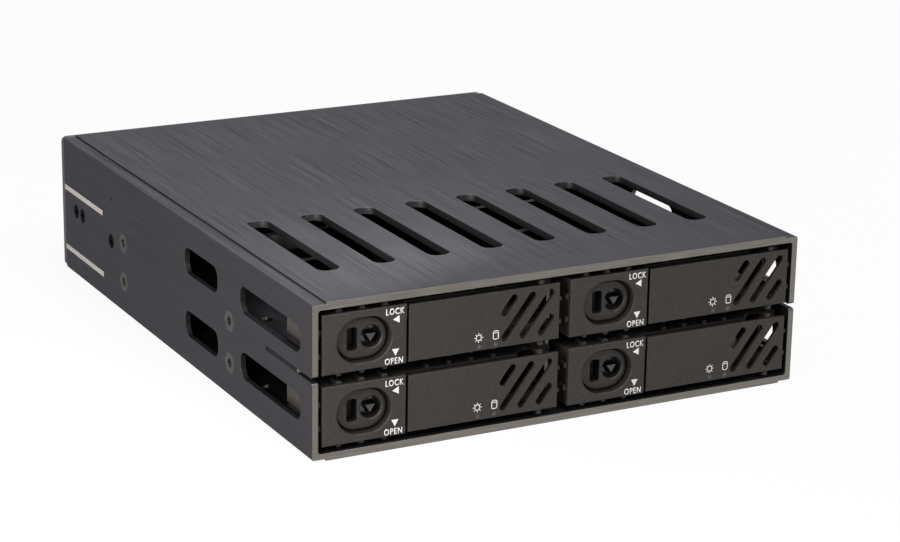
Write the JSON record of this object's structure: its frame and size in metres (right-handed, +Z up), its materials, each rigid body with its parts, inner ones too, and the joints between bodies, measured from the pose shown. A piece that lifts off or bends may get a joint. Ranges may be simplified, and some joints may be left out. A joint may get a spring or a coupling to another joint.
{
  "type": "hot swap drive cage",
  "caption": "Drive cage for one 5.25-inch bay: vented aluminium sleeve, sliding 2.5-inch trays with fold-out levers, push buttons and key locks, and a board for each row.",
  "frame": {"origin": "centre of the bounding box's underside: under the middle of the cage", "axes": "+X to the right seen from the front, +Y to the rear where the cables go in, +Z up; the trays slide out along -Y"},
  "size_m": [0.146, 0.1844, 0.0424],
  "materials": {
    "anodised": "brushed along its depth, anodised charcoal; cut ends bare",
    "insert_steel": "zinc plated",
    "black_steel": "black zinc",
    "sheet_steel": "galvanised sheet",
    "runner_plastic": "moulded, matt",
    "board": "solder mask over glass fibre",
    "connector_plastic": "moulded, matt",
    "capacitor_can": "satin can",
    "panel_paint": "matt black coat",
    "bezel_plastic": "fine moulded grain",
    "pin_steel": "ground",
    "spring_steel": "bright strip",
    "lens": "clear light pipe, unlit",
    "core_plastic": "moulded, satin"
  },
  "bodies": {
    "cage": {"sleeve": "anodised", "clinch_inserts": "insert_steel", "side_screws": "black_steel", "mid_shelf": "sheet_steel", "shelf_brackets": "sheet_steel", "lower_divider": "sheet_steel", "upper_divider": "sheet_steel", "lower_runners": "runner_plastic", "upper_runners": "runner_plastic", "lower_board": "board", "upper_board": "board", "lower_drive_connectors": "connector_plastic", "upper_drive_connectors": "connector_plastic", "data_sockets": "connector_plastic", "power_sockets": "connector_plastic", "board_capacitors": "capacitor_can", "rear_panel": "panel_paint"},
    "tray_lower_left": {"tray_chassis_lower_left": "sheet_steel", "tray_bezel_lower_left": "bezel_plastic", "tray_screws_lower_left": "black_steel", "lever_pins_lower_left": "pin_steel", "button_spring_lower_left": "spring_steel"},
    "lever_lower_left": {"tray_lever_lower_left": "bezel_plastic", "lever_lenses_lower_left": "lens"},
    "button_lower_left": {"latch_button_lower_left": "bezel_plastic"},
    "core_lower_left": {"lock_core_lower_left": "core_plastic"},
    "tray_lower_right": {"tray_chassis_lower_right": "sheet_steel", "tray_bezel_lower_right": "bezel_plastic", "tray_screws_lower_right": "black_steel", "lever_pins_lower_right": "pin_steel", "button_spring_lower_right": "spring_steel"},
    "lever_lower_right": {"tray_lever_lower_right": "bezel_plastic", "lever_lenses_lower_right": "lens"},
    "button_lower_right": {"latch_button_lower_right": "bezel_plastic"},
    "core_lower_right": {"lock_core_lower_right": "core_plastic"},
    "tray_upper_left": {"tray_chassis_upper_left": "sheet_steel", "tray_bezel_upper_left": "bezel_plastic", "tray_screws_upper_left": "black_steel", "lever_pins_upper_left": "pin_steel", "button_spring_upper_left": "spring_steel"},
    "lever_upper_left": {"tray_lever_upper_left": "bezel_plastic", "lever_lenses_upper_left": "lens"},
    "button_upper_left": {"latch_button_upper_left": "bezel_plastic"},
    "core_upper_left": {"lock_core_upper_left": "core_plastic"},
    "tray_upper_right": {"tray_chassis_upper_right": "sheet_steel", "tray_bezel_upper_right": "bezel_plastic", "tray_screws_upper_right": "black_steel", "lever_pins_upper_right": "pin_steel", "button_spring_upper_right": "spring_steel"},
    "lever_upper_right": {"tray_lever_upper_right": "bezel_plastic", "lever_lenses_upper_right": "lens"},
    "button_upper_right": {"latch_button_upper_right": "bezel_plastic"},
    "core_upper_right": {"lock_core_upper_right": "core_plastic"}
  },
  "joints": [
    {"name": "tray_slide_lower_left", "type": "slide", "parent": "cage", "child": "tray_lower_left", "axis": [0, -1, 0], "range_m": [0, 0.12]},
    {"name": "lever_hinge_lower_left", "type": "hinge", "parent": "tray_lower_left", "child": "lever_lower_left", "pos_m": [-0.0067, -0.09075, 0.01165], "axis": [0, 0, 1], "range_deg": [0, 80]},
    {"name": "button_push_lower_left", "type": "slide", "parent": "tray_lower_left", "child": "button_lower_left", "axis": [0, 1, 0], "range_m": [0, 0.0018], "stiffness_N_per_m": 400, "springref_m": -0.002, "deforming": ["button_spring_lower_left"]},
    {"name": "lock_turn_lower_left", "type": "hinge", "parent": "button_lower_left", "child": "core_lower_left", "pos_m": [-0.0556, -0.08605, 0.01165], "axis": [0, 1, 0], "range_deg": [0, 90]},
    {"name": "tray_slide_lower_right", "type": "slide", "parent": "cage", "child": "tray_lower_right", "axis": [0, -1, 0], "range_m": [0, 0.12]},
    {"name": "lever_hinge_lower_right", "type": "hinge", "parent": "tray_lower_right", "child": "lever_lower_right", "pos_m": [0.0652, -0.09075, 0.01165], "axis": [0, 0, 1], "range_deg": [0, 80]},
    {"name": "button_push_lower_right", "type": "slide", "parent": "tray_lower_right", "child": "button_lower_right", "axis": [0, 1, 0], "range_m": [0, 0.0018], "stiffness_N_per_m": 400, "springref_m": -0.002, "deforming": ["button_spring_lower_right"]},
    {"name": "lock_turn_lower_right", "type": "hinge", "parent": "button_lower_right", "child": "core_lower_right", "pos_m": [0.0163, -0.08605, 0.01165], "axis": [0, 1, 0], "range_deg": [0, 90]},
    {"name": "tray_slide_upper_left", "type": "slide", "parent": "cage", "child": "tray_upper_left", "axis": [0, -1, 0], "range_m": [0, 0.12]},
    {"name": "lever_hinge_upper_left", "type": "hinge", "parent": "tray_upper_left", "child": "lever_upper_left", "pos_m": [-0.0067, -0.09075, 0.03085], "axis": [0, 0, 1], "range_deg": [0, 80]},
    {"name": "button_push_upper_left", "type": "slide", "parent": "tray_upper_left", "child": "button_upper_left", "axis": [0, 1, 0], "range_m": [0, 0.0018], "stiffness_N_per_m": 400, "springref_m": -0.002, "deforming": ["button_spring_upper_left"]},
    {"name": "lock_turn_upper_left", "type": "hinge", "parent": "button_upper_left", "child": "core_upper_left", "pos_m": [-0.0556, -0.08605, 0.03085], "axis": [0, 1, 0], "range_deg": [0, 90]},
    {"name": "tray_slide_upper_right", "type": "slide", "parent": "cage", "child": "tray_upper_right", "axis": [0, -1, 0], "range_m": [0, 0.12]},
    {"name": "lever_hinge_upper_right", "type": "hinge", "parent": "tray_upper_right", "child": "lever_upper_right", "pos_m": [0.0652, -0.09075, 0.03085], "axis": [0, 0, 1], "range_deg": [0, 80]},
    {"name": "button_push_upper_right", "type": "slide", "parent": "tray_upper_right", "child": "button_upper_right", "axis": [0, 1, 0], "range_m": [0, 0.0018], "stiffness_N_per_m": 400, "springref_m": -0.002, "deforming": ["button_spring_upper_right"]},
    {"name": "lock_turn_upper_right", "type": "hinge", "parent": "button_upper_right", "child": "core_upper_right", "pos_m": [0.0163, -0.08605, 0.03085], "axis": [0, 1, 0], "range_deg": [0, 90]}
  ]
}
